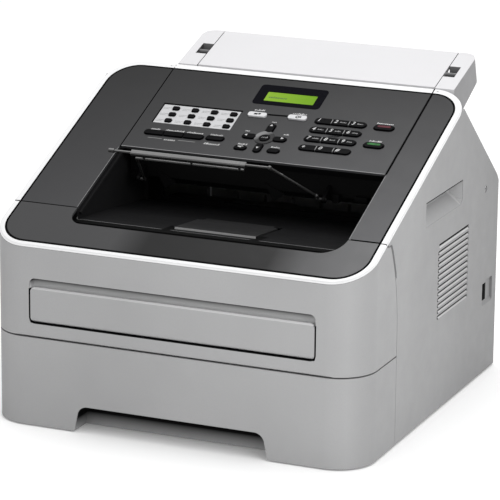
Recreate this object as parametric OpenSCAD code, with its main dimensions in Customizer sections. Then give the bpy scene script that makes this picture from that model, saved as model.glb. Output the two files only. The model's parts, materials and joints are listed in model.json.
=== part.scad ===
// Laser fax machine: paper tray below, printer in the body, sloped control panel with a document
// feeder behind it. +X is right seen from the front, +Y is back, +Z is up, in millimetres.
// The origin is on the floor, under the middle of the body.

/* [Body] */
// Width across the side covers
body_w = 368; // [366:1:370]
// Depth from the front cover to the rear wall
body_d = 360; // [359:1:361]
// Radius of the upright front corners
corner_r = 36; // [34:1:37]
// Thickness of the outer covers
wall = 3; // [2.8:0.1:3.2]

/* [Slopes] */
// Angle of the sloped top, degrees
top_slope = 23.41; // [23.2:0.01:23.6]
// Angle of the slope behind the document feeder, degrees
rear_slope = 39.85; // [39.6:0.05:40]
// Height of the white trim's outer side
rim_side = 2; // [1.8:0.1:2.4]

/* [Paper tray] */
// Height of the tray's front
tray_h = 84.6; // [84:0.1:85]
// Half width of the finger notch under the tray's front
notch_half = 96.5; // [80:0.5:100]
// Height of the finger notch
notch_h = 25.5; // [20:0.5:30]

/* [Keys] */
// How far a key stands above the panel
key_rise = 1.4; // [1:0.1:2]
// Gap round each key
key_gap = 0.35; // [0.25:0.05:0.45]

/* [Hidden] */

$fn = 48;

grey = [0.66, 0.66, 0.67];
white = [0.95, 0.95, 0.95];
dark = [0.25, 0.25, 0.26];
black = [0.06, 0.06, 0.07];
steel = [0.75, 0.76, 0.78];

half_w = body_w / 2;
front_y = -body_d / 2;
back_y = body_d / 2;

// the crease across the top, where the front cover ends, and the back edge of the white trim
crease_y = -123.7;
crease_z = 196;
rim_back_y = 92.3;
rim_back_r = 35;
rim_w = 7;
rim_front_w = 5.4;
ledge = 12;

// the side seam between the front cover and the side covers
seam_y = -95;
seam_r = 182;
seam_low_z = 110;
seam_high_z = 191;
seam_gap = 0.8;
cover_low_z = 86;
// the clearance under the trim
seat_gap = 0.05;
// the groove between the white trim and the dark surround
groove = 0.6;

// the rear slope starts where the trim's corner meets the side, and ends in a rounded back edge
slope_start = [69.9, 278.6];
slope_normal = [sin(rear_slope), cos(rear_slope)];
back_round = 30;
back_round_c = [back_y - back_round,
    slope_start.y - (back_round + (back_y - back_round - slope_start.x) * slope_normal.x)
    / slope_normal.y];

// the paper output well in the top
well_left = -119;
well_right = 147.2;
well_front_y = -145;
floor_front = [-112, 184];
floor_back = [20, 171];
scanner_low = [-20, 205];

// the control panel, in the sloped top's own plane: t runs uphill from the crease
panel_front_t = 97.5;
panel_back_t = 226.3;
panel_left = -118.2;
panel_right = 146.1;
panel_skin = 3;
panel_skirt = 8.5;

front_hinge = [-175.5, 90];
feed_hinge = [-176.4, 103.2];
feed_plate_r = 3.6;
door_hinge = [176.4, 99];
panel_hinge = [88.6, 286.4];
bail_hinge = [-34, 205];
output_hinge = [-111.5, 182.2];
flap_hinge = [124, 297];
lift_hinge = [60, 12];

function top_z(y) = crease_z + (y - crease_y) * tan(top_slope);
function edge_z(y) = top_z(y) - rim_side - seat_gap;

// ---- helpers ----

module block(lo, hi) {
    translate(lo) cube(hi - lo);
}

// an outline in Y and Z, extruded along X
module along_x(x0, x1) {
    translate([x0, 0, 0]) rotate([90, 0, 90]) linear_extrude(x1 - x0) children();
}

// an outline in X and Z, extruded along Y
module along_y(y0, y1) {
    translate([0, y1, 0]) rotate([90, 0, 0]) linear_extrude(y1 - y0) children();
}

module rod_x(x0, x1, at, r) {
    translate([x0, at.x, at.y]) rotate([0, 90, 0]) cylinder(h = x1 - x0, r = r);
}

module rod(p, q, r) {
    d = q - p;
    translate(p) rotate([0, acos(d.z / norm(d)), atan2(d.y, d.x)]) cylinder(h = norm(d), r = r);
}

module rounded_rect(w, h, r) {
    square([w - 2 * r, h], center = true);
    square([w, h - 2 * r], center = true);
    for (x = [-1, 1], y = [-1, 1])
        translate([x * (w / 2 - r), y * (h / 2 - r)]) circle(r);
}

module pill(w, h) {
    square([w - h, h], center = true);
    for (x = [-1, 1]) translate([x * (w - h) / 2, 0]) circle(h / 2);
}

// a plan outline with one radius at the front corners and another at the back ones
module plan(half, y0, y1, rf, rb) {
    translate([-half, y0 + rf]) square([2 * half, y1 - rb - y0 - rf]);
    translate([rf - half, y0]) square([2 * (half - rf), rf + 1]);
    translate([rb - half, y1 - rb - 1]) square([2 * (half - rb), rb + 1]);
    for (x = [-1, 1]) {
        translate([x * (half - rf), y0 + rf]) circle(rf);
        translate([x * (half - rb), y1 - rb]) circle(rb);
    }
}

module top_plan(inset) {
    plan(half_w - inset, front_y + inset, rim_back_y - inset, corner_r - inset, rim_back_r - inset);
}

module dark_plan(gap = 0) {
    plan(half_w - rim_w - gap, front_y + rim_front_w + gap, rim_back_y - 8.1 - gap,
        corner_r - 8 - gap, rim_back_r - 8 - gap);
}

// a sheet that follows the sloped top, from depth d0 to depth d1 below it
module top_band(d0, d1) {
    along_x(-half_w - 10, half_w + 10)
        polygon([for (y = [-200, 110]) [y, top_z(y) - d1], for (y = [110, -200]) [y, top_z(y) - d0]]);
}

// a place in the sloped top's own plane
module on_top(x = 0, t = 0, n = 0) {
    translate([0, crease_y, crease_z]) rotate([top_slope, 0, 0]) translate([x, t, n]) children();
}

module front_zone(gap, z0) {
    top_angle = asin((seam_high_z - seam_low_z) / seam_r);
    steps = 12;
    along_x(-half_w - 5, half_w + 5) polygon(concat(
        [[-210, z0], [seam_y - gap, z0]],
        [for (i = [0:steps]) let (a = top_angle * i / steps)
            [seam_y - gap - seam_r * (1 - cos(a)), seam_low_z + seam_r * sin(a)]],
        [[crease_y - gap, edge_z(crease_y) - 1], [crease_y - gap, 260], [-210, 260]]));
}

module side_outline(inset) {
    run = back_round - inset;
    drop = inset / cos(top_slope);
    flat = edge_z(0) - drop;
    meet_y = (slope_normal * slope_start - inset - slope_normal.y * flat)
        / (slope_normal.x + slope_normal.y * tan(top_slope));
    bottom = 2 - 10 * inset;
    polygon([[front_y + inset, bottom], [front_y + inset, edge_z(front_y + inset) - drop],
        [meet_y, flat + meet_y * tan(top_slope)], back_round_c + run * slope_normal, back_round_c,
        back_round_c + [run, 0], [back_y - inset, bottom]]);
    translate(back_round_c) circle(run, $fn = 96);
}

module body_solid(inset) {
    low_r = max(corner_r - inset, 1);
    intersection() {
        translate([0, 0, -40]) linear_extrude(360)
            plan(half_w - inset, front_y + inset, back_y - inset, low_r, max(4 - inset, 1));
        along_x(-half_w, half_w) side_outline(inset);
    }
    intersection() {
        translate([0, 0, 150]) linear_extrude(160) top_plan(inset);
        top_band(rim_side + seat_gap + inset / cos(top_slope), 100);
    }
}

module shell() {
    difference() {
        body_solid(0);
        body_solid(wall);
    }
}

// the top of the covers is open inside the ledge that carries the trim
module top_opening() {
    intersection() {
        translate([0, 0, 100]) linear_extrude(220) top_plan(ledge);
        top_band(0, rim_side + 4);
    }
}

// ---- outer covers ----

grip_y = [-26.3, 72];
grip_z = [187, 210];
grip_depth = 14;

// everything above a floor that rises inwards from height z at the side
module rising_floor(z, rise) {
    along_y(-200, 200) polygon([[half_w + 2, z - 2 * rise], [half_w - 40, z + 40 * rise],
        [half_w - 40, 260], [half_w + 2, 260]]);
}

module grip_cut(grow) {
    intersection() {
        along_x(half_w - grip_depth - grow, half_w + 1)
            polygon([[grip_y.x - grow, grip_z.x - grow], [grip_y.y - 5, grip_z.x - grow],
                [grip_y.y + grow, grip_z.x + 5], [grip_y.y + grow, grip_z.y + grow],
                [grip_y.x - grow, grip_z.y + grow]]);
        rising_floor(grip_z.x - 1.25 * grow, 0.75);
    }
}

// a scoop beside the seam, to grip the front cover by
module seam_scoop() {
    intersection() {
        along_x(half_w - 2.2, half_w + 1) polygon([[-128, 193], [-112.5, 193], [-108, 186],
            [-100, 165], [-99, 159], [-104, 157.5], [-128, 157.5]]);
        rising_floor(157.5, 1.6);
    }
}

module louvres() {
    count = 12;
    pitch = 5.6;
    y = [11, 92.3];
    depth = 2.7;
    low = 90.6;
    for (i = [0:count]) {
        z = low + i * pitch;
        high = i < count ? 4 : 5;
        // a sloping recess with a slot along its deep upper edge
        along_y(y.x, y.y) polygon([[half_w + 0.5, z - 0.6], [half_w - depth, z + high - 0.1],
            [half_w - depth, z + high], [half_w + 0.5, z + high]]);
        block([half_w - wall - 1, y.x, z + high - 1.3], [half_w - 1, y.y, z + high]);
        // a round hole at its front end
        if (i < count) rod_x(half_w - wall - 1, half_w + 1, [y.x, z + high / 2], high / 2);
    }
}

module side_cover() {
    difference() {
        union() {
            intersection() {
                shell();
                block([146, -120, 2], [half_w + 1, back_y + 1, 300]);
            }
            intersection() {
                grip_cut(2.5);
                body_solid(1);
            }
        }
        front_zone(0, -10);
        top_opening();
        grip_cut(0);
        louvres();
        seam_scoop();
        hinge_notch(146);
        // the control panel's skirt and back edge swing past here
        block([145, 40, 262], [147.3, 89.2, 300]);
        block([145, 40, 283.2], [147.3, 95, 300]);
    }
}

// room for the lug that carries the control panel's pivot
module hinge_notch(x) {
    block([x - 0.5, 84.8, 282.6], [x + 9, 91.4, 300]);
}

module side_cover_right() {
    color(grey) difference() {
        side_cover();
        // the port window with its slot
        intersection() {
            along_x(half_w - 2.3, half_w + 1) translate([150.9, 82]) rounded_rect(28.8, 24, 2);
            rising_floor(70, 1.4);
        }
        block([half_w - wall - 1, 138, 73.8], [half_w + 1, 147.3, 89.6]);
        // a screw recess
        rod_x(half_w - 1.4, half_w + 1, [139, 186], 3.2);
    }
}

module side_cover_left() {
    color(grey) mirror([1, 0, 0]) side_cover();
}

module rear_cover() {
    side_x = 145.6;
    color(grey) difference() {
        union() {
            intersection() {
                shell();
                block([-side_x, 40, 2], [side_x, back_y + 1, 300]);
            }
            for (x = [-126.5, 121.2]) block([x, 171, 90], [x + 5.3, back_y - 1, 172]);
        }
        top_opening();
        // the control panel's back edge swings in here
        block([-side_x - 1, 40, 262], [side_x + 1, 89.2, 300]);
        block([panel_left - 1, 80, 283.2], [side_x + 1, 95, 300]);
        hinge_notch(-127.4);
        block([-120.6, 170, 94.8], [120.6, back_y + 1, 165.6]);
        rod_x(-123.6, 123.6, door_hinge, 1.55);
        // the slot that documents pass through
        block([-96, 80, 265], [144, 95, 283.5]);
        inlet_outline(0.4);
        jack_outline(0.4);
    }
}

module rear_door() {
    color(grey) {
        difference() {
            union() {
                block([-120, back_y - wall, door_hinge.y], [120, back_y, 165]);
                rod_x(-120, 120, door_hinge, feed_plate_r);
            }
            // a finger hollow in the door's upper edge
            translate([0, back_y + 10, 165]) rotate([90, 0, 0]) cylinder(h = 11.5, r = 16);
        }
        rod_x(-123.2, 123.2, door_hinge, 1.5);
        for (x = [-90:30:90]) block([x - 1, back_y - 9, 106], [x + 1, back_y - wall + 0.5, 146]);
    }
}

// the white trim all round the top, with its upper outer edge bevelled
module trim_ring() {
    bevel = 1;
    intersection() {
        linear_extrude(320) difference() {
            top_plan(0);
            dark_plan(-0.5);
        }
        top_band(0, rim_side);
        union() {
            linear_extrude(320) top_plan(bevel);
            top_band(bevel, rim_side);
        }
    }
}

module top_rim() {
    lug = 6;
    color(white) difference() {
        union() {
            intersection() {
                trim_ring();
                union() {
                    block([-200, crease_y, 100], [well_left - 0.2, 110, 320]);
                    block([well_right + 0.2, crease_y, 100], [200, 110, 320]);
                }
            }
            for (x = [well_left - 0.2 - lug, well_right + 0.2])
                block([x, 85.4, 283.4], [x + lug, 91, top_z(85.4) - 0.4]);
        }
        rod_x(well_left - 5, well_right + 5, panel_hinge, 1.45);
    }
}

module front_rim() {
    color(white) intersection() {
        trim_ring();
        block([-200, -200, 100], [200, crease_y - seam_gap, 320]);
    }
}

module well_outline() {
    left_r = 13;
    right_r = 22;
    translate([well_left, well_front_y + right_r]) square([well_right - well_left, 200]);
    translate([well_left + left_r, well_front_y])
        square([well_right - well_left - left_r - right_r, right_r + 1]);
    translate([well_left, well_front_y + left_r]) square([left_r + 1, right_r]);
    translate([well_left + left_r, well_front_y + left_r]) circle(left_r);
    translate([well_right - right_r, well_front_y + right_r]) circle(right_r);
}

module front_strip() {
    shelf_back = [crease_y - seam_gap, 185.2];
    underside = [[well_front_y - 2, 179.6], [-137, 179.6], [-133, 182.8]];
    color(dark) {
        difference() {
            intersection() {
                linear_extrude(320) dark_plan(groove);
                top_band(0, rim_side);
                block([-200, -200, 100], [200, crease_y - seam_gap, 320]);
            }
            linear_extrude(320) well_outline();
        }
        // a trench behind the lip, then a ridge and a shelf
        along_x(well_left - 1.5, well_right + 1.5)
            polygon(concat(underside, [[shelf_back.x, 182.8], shelf_back, [-136.5, 185.9], [-138.2, 181.8],
                [well_front_y + 0.6, 181.8], [well_front_y, 186.2], [well_front_y - 2, 185.4]]));
        for (x = [well_left - 1.5, well_right])
            along_x(x, x + 1.5) polygon(concat(underside, [[shelf_back.x, 182.8],
                [shelf_back.x, top_z(shelf_back.x) - 1], [well_front_y - 2, top_z(well_front_y - 2) - 1]]));
    }
}

module front_cover() {
    arm_x = [119.6, 128.4];
    bevel = 1.2;
    color(grey) {
        difference() {
            union() {
                intersection() {
                    shell();
                    front_zone(seam_gap, cover_low_z);
                }
                block([-145, front_y + 2, 97], [145, front_y + 12, 145]);
            }
            // the top is open over the output well
            block([well_left - 3.2, well_front_y - 2.4, 170], [well_right + 3.2, -100, 240]);
            block([-170, crease_y - seam_gap, 150], [170, -90, 240]);
            // the pocket of the manual feed cover, its finger groove and its slot
            along_y(front_y - 1, front_y + 8) plan(139.9, 98.7, 140.9, 2.2, 5.5);
            along_y(front_y - 1, front_y + 14) translate([0, 117]) rounded_rect(224, 16, 2);
            rod_x(-142.4, 142.4, feed_hinge, 1.55);
            for (s = [-1, 1]) rod_x(s * 124 - 4.4, s * 124 + 4.4, front_hinge, 3.65);
            // the lower edge is bevelled, so that it swings clear of the tray
            along_x(-half_w, half_w)
                polygon([[front_y - 1, cover_low_z - 1], [front_y + bevel + 1, cover_low_z - 1],
                    [front_y - 1, cover_low_z + bevel + 1]]);
        }
        for (s = [-1, 1]) {
            rod_x(s * 124 - 8, s * 124 + 8, front_hinge, 2);
            for (x = [s * 124 - 8, s * 124 + arm_x.y - 124])
                rod_x(x, x + 3.6, front_hinge, 3.4);
        }
    }
}

module manual_feed_cover() {
    reach = 139;
    top = 132.5;
    color(grey) {
        difference() {
            intersection() {
                along_y(front_y, front_y + 2 * feed_plate_r) plan(reach, 99.6, top, 4.5, 4.5);
                along_x(-reach, reach) {
                    translate(feed_hinge) circle(feed_plate_r);
                    polygon([[front_y, feed_hinge.y], [front_y, top - 1.3], [front_y + 1.3, top],
                        [front_y + feed_plate_r, top], [front_y + feed_plate_r, feed_hinge.y]]);
                }
            }
            // the inner face is relieved between a border and ribs
            for (x = [-reach + 4:45.3:reach - 30])
                block([x, front_y + 2, 111], [x + 41, front_y + 6, 129]);
        }
        rod_x(-142, 142, feed_hinge, 1.5);
    }
}

// ---- paper tray ----

module tray_front_solid(inset) {
    linear_extrude(tray_h)
        plan(half_w - inset, front_y + inset, 0, max(corner_r - inset, 1), 1);
}

module notch(depth) {
    along_y(front_y - 1, front_y + depth) {
        hull() {
            translate([-notch_half, -5]) square([2 * notch_half, 1]);
            for (s = [-1, 1]) translate([s * (notch_half - 14), notch_h - 10]) circle(10);
        }
    }
}

module paper_tray() {
    body_half = 116;
    body_back = 150;
    low = 4;
    color(grey) difference() {
        union() {
            difference() {
                tray_front_solid(0);
                translate([0, 0, 5]) tray_front_solid(wall);
                block([-200, seam_y - 0.6, -1], [200, 20, 100]);
                block([-200, -200, -1], [200, 20, 1.5]);
            }
            // the hollow behind the finger notch has its own back and roof
            block([-notch_half - 3, front_y + 2, 1.5], [notch_half + 3, front_y + 27, notch_h + 3]);
            // the paper well
            difference() {
                block([-body_half, front_y + 20, low], [body_half, body_back, 50]);
                block([-body_half + 3, front_y + 27, low + 3], [body_half - 3, body_back - 3, 51]);
            }
            block([-half_w + 2, front_y + 36, 1.5], [half_w - 2, seam_y - 0.6, 6]);
        }
        notch(24);
        // clearance for the pivots of the lift plate
        rod_x(-114.5, 114.5, lift_hinge, 2.05);
    }
}

module lift_plate() {
    color(steel) {
        block([-108, -130, 10], [108, lift_hinge.x, 11.6]);
        for (s = [-1, 1]) {
            block([s * 108 - 1, lift_hinge.x - 6, 10], [s * 108 + 1, lift_hinge.x + 4, 16]);
            rod_x(s * 111.2 - 3.1, s * 111.2 + 3.1, lift_hinge, 2);
        }
    }
}

module rubber_feet() {
    color(black) for (x = [-150, 150], y = [-60, 150]) translate([x, y, 0]) cylinder(h = 4, r = 11);
}

// ---- frame and inner units ----

module base_frame() {
    inner = 119;
    outer = half_w - wall - 1;
    deck = [58, 61];
    color("dimgray") difference() {
        union() {
            block([-outer, seam_y + 3, deck.x], [outer, 172, deck.y]);
            for (s = [-1, 1]) {
                block([min(s * inner, s * (inner + 2.5)), seam_y + 3, 4],
                    [max(s * inner, s * (inner + 2.5)), 172, deck.y]);
                block([min(s * inner, s * outer), seam_y + 3, 4], [max(s * inner, s * outer), 172, 6.5]);
                // the arms that carry the front cover's pivots
                block([s * 124 - 4, front_hinge.x, 89], [s * 124 + 4, seam_y + 8, 93.4]);
                block([s * 124 - 4, seam_y + 3, deck.y - 1], [s * 124 + 4, seam_y + 8, 93.4]);
                // the screening plates behind the side covers
                block([min(s * 177.5, s * outer), seam_y + 8, 4],
                    [max(s * 177.5, s * outer), 172, 180]);
                rod_x(s * 124 - 4, s * 124 + 4, front_hinge, 3.4);
                // the side plates that carry the laser unit, and the rails under drum and fuser
                block([min(s * inner, s * (inner + 2.5)), -80, deck.x],
                    [max(s * inner, s * (inner + 2.5)), 158, 130]);
                block([s * 106 - 3, -66, deck.x], [s * 106 + 3, 40, 69.8]);
                block([s * 106 - 3, 98, deck.x], [s * 106 + 3, 156, 65.8]);
                // the brackets of the pick-up roller
                block([s * 70 - 2, -112, 62], [s * 70 + 2, seam_y + 8, 84]);
                block([s * 70 - 2, seam_y + 3, deck.y - 1], [s * 70 + 2, seam_y + 8, 84]);
            }
            block([-outer, 169.5, 4], [outer, 172, deck.y]);
        }
        for (s = [-1, 1]) rod_x(s * 124 - 5, s * 124 + 5, front_hinge, 2.05);
        rod_x(-80, 80, [-106, 73], 3.05);
        block([113, 158, 22], [143, 180, 56]);
        block([-146, 160, 22], [-96, 180, 50]);
    }
}

module pickup_roller() {
    color(black) rod_x(-24, 24, [-106, 73], 15);
    color(steel) rod_x(-74, 74, [-106, 73], 3);
}

module toner_cartridge() {
    color(black) {
        difference() {
            union() {
                block([-112, -134, 92], [112, -70, 142]);
                rod_x(-112, 112, [-134, 116], 20);
            }
            block([-90, -100, 134], [90, -80, 146]);
        }
        block([-30, -164, 110], [30, -150, 122]);
    }
}

module drum_unit() {
    color([0.16, 0.3, 0.28]) rod_x(-112, 112, [-20, 96], 15);
    color(black) {
        difference() {
            block([-118, -68, 70], [118, 42, 128]);
            block([-114, -64, 66], [114, 10, 116]);
        }
        for (s = [-1, 1]) rod_x(s * 114.5 - 3, s * 114.5 + 3, [-20, 96], 7);
    }
}

module laser_unit() {
    color("dimgray") {
        block([-121.5, -34, 130.2], [121.5, 96, 160]);
        translate([0, 60, 159.9]) cylinder(h = 5, r = 26);
    }
}

module fuser_unit() {
    color("dimgray") difference() {
        block([-118, 96, 66], [118, 158, 126]);
        block([-112, 90, 88], [112, 166, 104]);
    }
    color(steel) {
        rod_x(-116, 116, [126, 114], 11);
        rod_x(-116, 116, [126, 84], 10);
    }
}

module main_board() {
    color([0.1, 0.35, 0.2]) block([-177.4, -60, 75], [-175.8, 140, 175]);
    color(black) for (y = [-40:36:104], z = [88, 120, 150])
        block([-175.9, y, z], [-172.4, y + 18, z + 16]);
}

module power_supply() {
    color([0.5, 0.42, 0.25]) block([126, 10, 12], [174, 150, 13.6]);
    color(black) {
        for (y = [24, 52, 84]) translate([148, y, 13]) cylinder(h = 32, r = 9);
        block([134, 104, 13], [168, 140, 40]);
    }
}

inlet_c = [128, 40];

module inlet_outline(grow) {
    along_y(back_y - wall - 1, back_y + 1)
        translate(inlet_c) rounded_rect(27 + 2 * grow, 19.5 + 2 * grow, 3);
}

module ac_inlet() {
    color(black) difference() {
        along_y(back_y - 20, back_y) translate(inlet_c) rounded_rect(27, 19.5, 3);
        along_y(back_y - 16, back_y + 1) translate(inlet_c) rounded_rect(24, 16.5, 4);
    }
    color(steel) for (x = [-7, 0, 7])
        block([inlet_c.x + x - 1, back_y - 17, inlet_c.y - 2 + (x == 0 ? 2 : 0)],
            [inlet_c.x + x + 1, back_y - 8, inlet_c.y + 2 + (x == 0 ? 2 : 0)]);
}

jack_x = [-132, -110];
jack_z = 36;

module jack_outline(grow) {
    along_y(back_y - wall - 1, back_y + 1) for (x = jack_x)
        translate([x, jack_z]) square([15 + 2 * grow, 13 + 2 * grow], center = true);
}

module phone_jacks() {
    color([0.12, 0.12, 0.13]) for (x = jack_x) difference() {
        block([x - 7.5, back_y - 16, jack_z - 6.5], [x + 7.5, back_y, jack_z + 6.5]);
        block([x - 5.2, back_y - 13, jack_z - 3.5], [x + 5.2, back_y + 1, jack_z + 3.5]);
        block([x - 3, back_y - 13, jack_z - 5.2], [x + 3, back_y + 1, jack_z]);
    }
}

// ---- top: output well, scanner, bail ----

well_floor = [[crease_y + 0.4, 184.9], floor_front, floor_back];

module top_cover() {
    color(dark) {
        difference() {
            union() {
                difference() {
                    intersection() {
                        linear_extrude(320) dark_plan(groove);
                        top_band(0, rim_side);
                        block([-200, crease_y + 0.1, 100], [200, 110, 320]);
                    }
                    block([well_left, -200, 100], [well_right, 110, 320]);
                }
                for (x = [well_left - 2.5, well_right])
                    along_x(x, x + 2.5) polygon([[crease_y + 0.4, 181], [23, 168], [23, 205], [80, 245],
                        [80, top_z(80) - 1], [crease_y + 0.4, top_z(crease_y) - 1]]);
                along_x(well_left - 1, well_right + 1)
                    polygon(concat(well_floor, [[floor_back.x, floor_back.y - 3],
                        [well_floor[0].x, well_floor[0].y - 3]]));
                // the tub under the output flap
                along_x(-29, 57) polygon([[-118, 184.3], [-49, 177.8], [-49, 172], [-118, 174.5]]);
                // a ledge along the left wall
                on_top() block([well_left - 1, 0.6, -8], [well_left + 2.4, panel_front_t - 1, -5.5]);
                block([well_left - 1, floor_back.x, 167], [well_right + 1, floor_back.x + 3, 207]);
            }
            along_x(-26.6, 54.6) polygon([[-116.2, 190], [-51.5, 190], [-51.5, 174.5], [-116.2, 176.9]]);
            rod_x(-28.4, 56.4, output_hinge, 1.25);
            block([-100, 10, 176], [128, 30, 190]);
        }
    }
}

module output_flap() {
    width = [-26, 54];
    slope = atan2(floor_front.y - floor_back.y, floor_back.x - floor_front.x);
    color(dark) {
        difference() {
            union() {
                translate([0, output_hinge.x, output_hinge.y]) rotate([-slope, 0, 0])
                    along_x(width.x, width.y) polygon([[-2.2, 0], [-2.2, 2.9], [-1.8, 3.3],
                        [57, 3.3], [57, 1.1], [2.2, 1.1], [2.2, 0]]);
                rod_x(width.x, width.y, output_hinge, 2.2);
            }
            for (x = [width.x, width.y]) translate([x, -57, 160]) cylinder(h = 40, r = 6);
        }
        rod_x(width.x - 2, width.y + 2, output_hinge, 1.2);
    }
}

bracket_x = [-101, 86];

module scanner_unit() {
    depth = 13;
    back = 76;
    roller_c = [170, -20.5];
    color(black) difference() {
        union() {
            along_x(well_left + 4, well_right - 4)
                polygon([scanner_low, [scanner_low.x, top_z(scanner_low.x) - depth],
                    [back, top_z(back) - depth], [back, 236], [60, 213]]);
            // two vanes that turn printed sheets down
            for (x = [-88, 22.8]) along_y(-21.5, -18.5)
                polygon([[x, 211], [x + 9.5, 194.2], [x + 20, 202.5]]);
            // guides along the lower front edge
            block([-113, -25, 203.8], [-104, -18, 208.2]);
            block([92, -25, 200.4], [98, -18, 208.2]);
            block([113.5, -25, 203.8], [126, -18, 208.2]);
            // the brackets of the bail
            for (x = bracket_x) {
                along_x(x, x + 3) polygon([[-19.5, 205.6], [-34, 201.8], [-34, 208.2], [-19.5, 216]]);
                rod_x(x, x + 3, bail_hinge, 3.2);
            }
        }
        on_top(14, roller_c.x, roller_c.y) block([-46, -11, -12], [46, 11, 20]);
        on_top(0, roller_c.x, roller_c.y) rotate([0, 90, 0])
            cylinder(h = 124, r = 3.05, center = true);
        // the scanning window
        on_top(14, 136, -depth) block([-108, -9, -2], [108, 9, 1]);
        for (x = bracket_x) rod_x(x - 1, x + 4, bail_hinge, 1.56);
    }
    color([0.5, 0.6, 0.62]) on_top(14, 136, -depth) block([-108, -9, -2], [108, 9, -0.6]);
}

module adf_roller() {
    on_top(0, 170, -20.5) rotate([0, 90, 0]) {
        color(black) translate([0, 0, -20]) cylinder(h = 68, r = 9);
        color(steel) translate([0, 0, -58]) cylinder(h = 116, r = 3);
    }
}

module document_bail() {
    bar = [-75, 240];
    rear_bar = [-67, 233];
    elbow = [82, -39, 209];
    knuckle = 2;
    color(black) {
        translate([0, bar.x, bar.y]) rotate([top_slope + 15, 0, 0]) block([-88, -2.6, -1.4], [27, 2.6, 1.4]);
        rod_x(-110.5, 50.5, bar, 1.2);
        rod_x(-110.5, -105, bar, knuckle);
        rod([50.5, bar.x, bar.y], elbow, 1.2);
        rod(elbow, [elbow.x, bail_hinge.x, bail_hinge.y], 1.2);
        translate([50.5, bar.x, bar.y]) sphere(knuckle);
        translate(elbow) sphere(knuckle);
        rod_x(80, 89.6, bail_hinge, 1.5);
        rod_x(-87, 22, rear_bar, 1.2);
        rod([-86, rear_bar.x, rear_bar.y], [-94, bail_hinge.x, bail_hinge.y], 1.2);
        rod_x(-101.6, -92.6, bail_hinge, 1.5);
        for (x = [-78, -30, 18]) rod([x, rear_bar.x, rear_bar.y], [x, bar.x, bar.y], 1);
    }
}

// ---- control panel ----

dial_x = 77.6;
dial_pitch = 17.1;
dial_rows = [166.4, 152.2, 138, 123.8];
dial_h = 7.6;
pill_size = [19, 7.6];
lcd_frame = [68.5, 31.4];
lcd_c = [14.2, 199.7];
sheet_lo = [-103, 138.7];
sheet_hi = [-23.6, 168.4];
touch_x = [-88.8, -68.9, -49, -29.1];
touch_t = [162.8, 153, 143.1];
touch_size = [6.6, 5];
ok_c = [14.5, 131.6];

// one key of a joined row of count keys: the end keys have round outer ends
module row_key(index, count, pitch, h, grow) {
    w = pitch - 1 + 2 * grow;
    tall = h + 2 * grow;
    left = index == 0 ? tall / 2 : 0;
    right = index == count - 1 ? tall / 2 : 0;
    translate([(index - (count - 1) / 2) * pitch, 0]) {
        translate([-w / 2 + left, -tall / 2]) square([w - left - right, tall]);
        if (index == 0) translate([-w / 2 + left, 0]) circle(tall / 2);
        if (index == count - 1) translate([w / 2 - right, 0]) circle(tall / 2);
    }
}

module dial_outline(row, column, grow = 0) {
    translate([dial_x, dial_rows[row]]) row_key(column, 3, dial_pitch, dial_h, grow);
}

module function_outline(grow = 0) {
    for (i = [0:2]) translate([-74.2, 122.6]) row_key(i, 3, 20.3, 6.4, grow);
}

module touch_outline(grow = 0) {
    for (x = touch_x, t = touch_t)
        translate([x, t]) rounded_rect(touch_size.x + 2 * grow, touch_size.y + 2 * grow, 1.4);
}

module pill_outline(at, w, h, grow = 0) {
    translate(at) pill(w + 2 * grow, h + 2 * grow);
}

module upright_outline(at, w, h, grow = 0) {
    translate(at) rotate(90) pill(h + 2 * grow, w + 2 * grow);
}

module mode_outline(at, grow = 0) {
    translate(at) rounded_rect(18.6 + 2 * grow, 6.4 + 2 * grow, 2.4);
}

fax_at = [-6.4, 166.2];
copy_at = [33.6, 168];
options_at = [-32.4, 123.4];
up_at = [14.6, 147.6];
down_at = [14.2, 115.9];
left_at = [-1.2, 132.4];
right_at = [29.4, 132];
clear_at = [-2.9, 113.6];
menu_at = [30.2, 114];
stop_at = [120.8, 166];
start_at = [120.6, 138];
arrow_size = [13, 6.8];
small_size = [11.5, 6];

module key_holes(grow) {
    for (row = [0:3], column = [0:2]) dial_outline(row, column, grow);
    function_outline(grow);
    touch_outline(grow);
    pill_outline(options_at, 17.6, 6.4, grow);
    mode_outline(fax_at, grow);
    mode_outline(copy_at, grow);
    upright_outline(up_at, arrow_size.y, arrow_size.x, grow);
    upright_outline(down_at, arrow_size.y, arrow_size.x, grow);
    pill_outline(left_at, arrow_size.x, arrow_size.y, grow);
    pill_outline(right_at, arrow_size.x, arrow_size.y, grow);
    translate(ok_c) circle(4.9 + grow);
    pill_outline(clear_at, small_size.x, small_size.y, grow);
    pill_outline(menu_at, small_size.x, small_size.y, grow);
    pill_outline(stop_at, pill_size.x, pill_size.y, grow);
    pill_outline(start_at, pill_size.x, pill_size.y, grow);
}

module control_panel() {
    color(dark) difference() {
        union() {
            on_top() translate([0, 0, -panel_skin]) linear_extrude(panel_skin)
                translate([panel_left, panel_front_t])
                square([panel_right - panel_left, panel_back_t - panel_front_t]);
            on_top() translate([0, 0, -panel_skirt]) linear_extrude(panel_skirt) difference() {
                translate([panel_left, panel_front_t])
                    square([panel_right - panel_left, panel_back_t - panel_front_t - 16]);
                translate([panel_left + 2.5, panel_front_t + 2.5])
                    square([panel_right - panel_left - 5, panel_back_t - panel_front_t - 21]);
            }
        }
        on_top() translate([0, 0, -panel_skirt - 1]) linear_extrude(panel_skirt + 2) {
            key_holes(key_gap);
            translate(lcd_c) rounded_rect(lcd_frame.x + 0.3, lcd_frame.y + 0.3, 4.15);
        }
        // the shallow seat of the one-touch sheet
        on_top() translate([0, 0, -0.4]) linear_extrude(1) translate(sheet_lo) square(sheet_hi - sheet_lo);
    }
}

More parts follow.
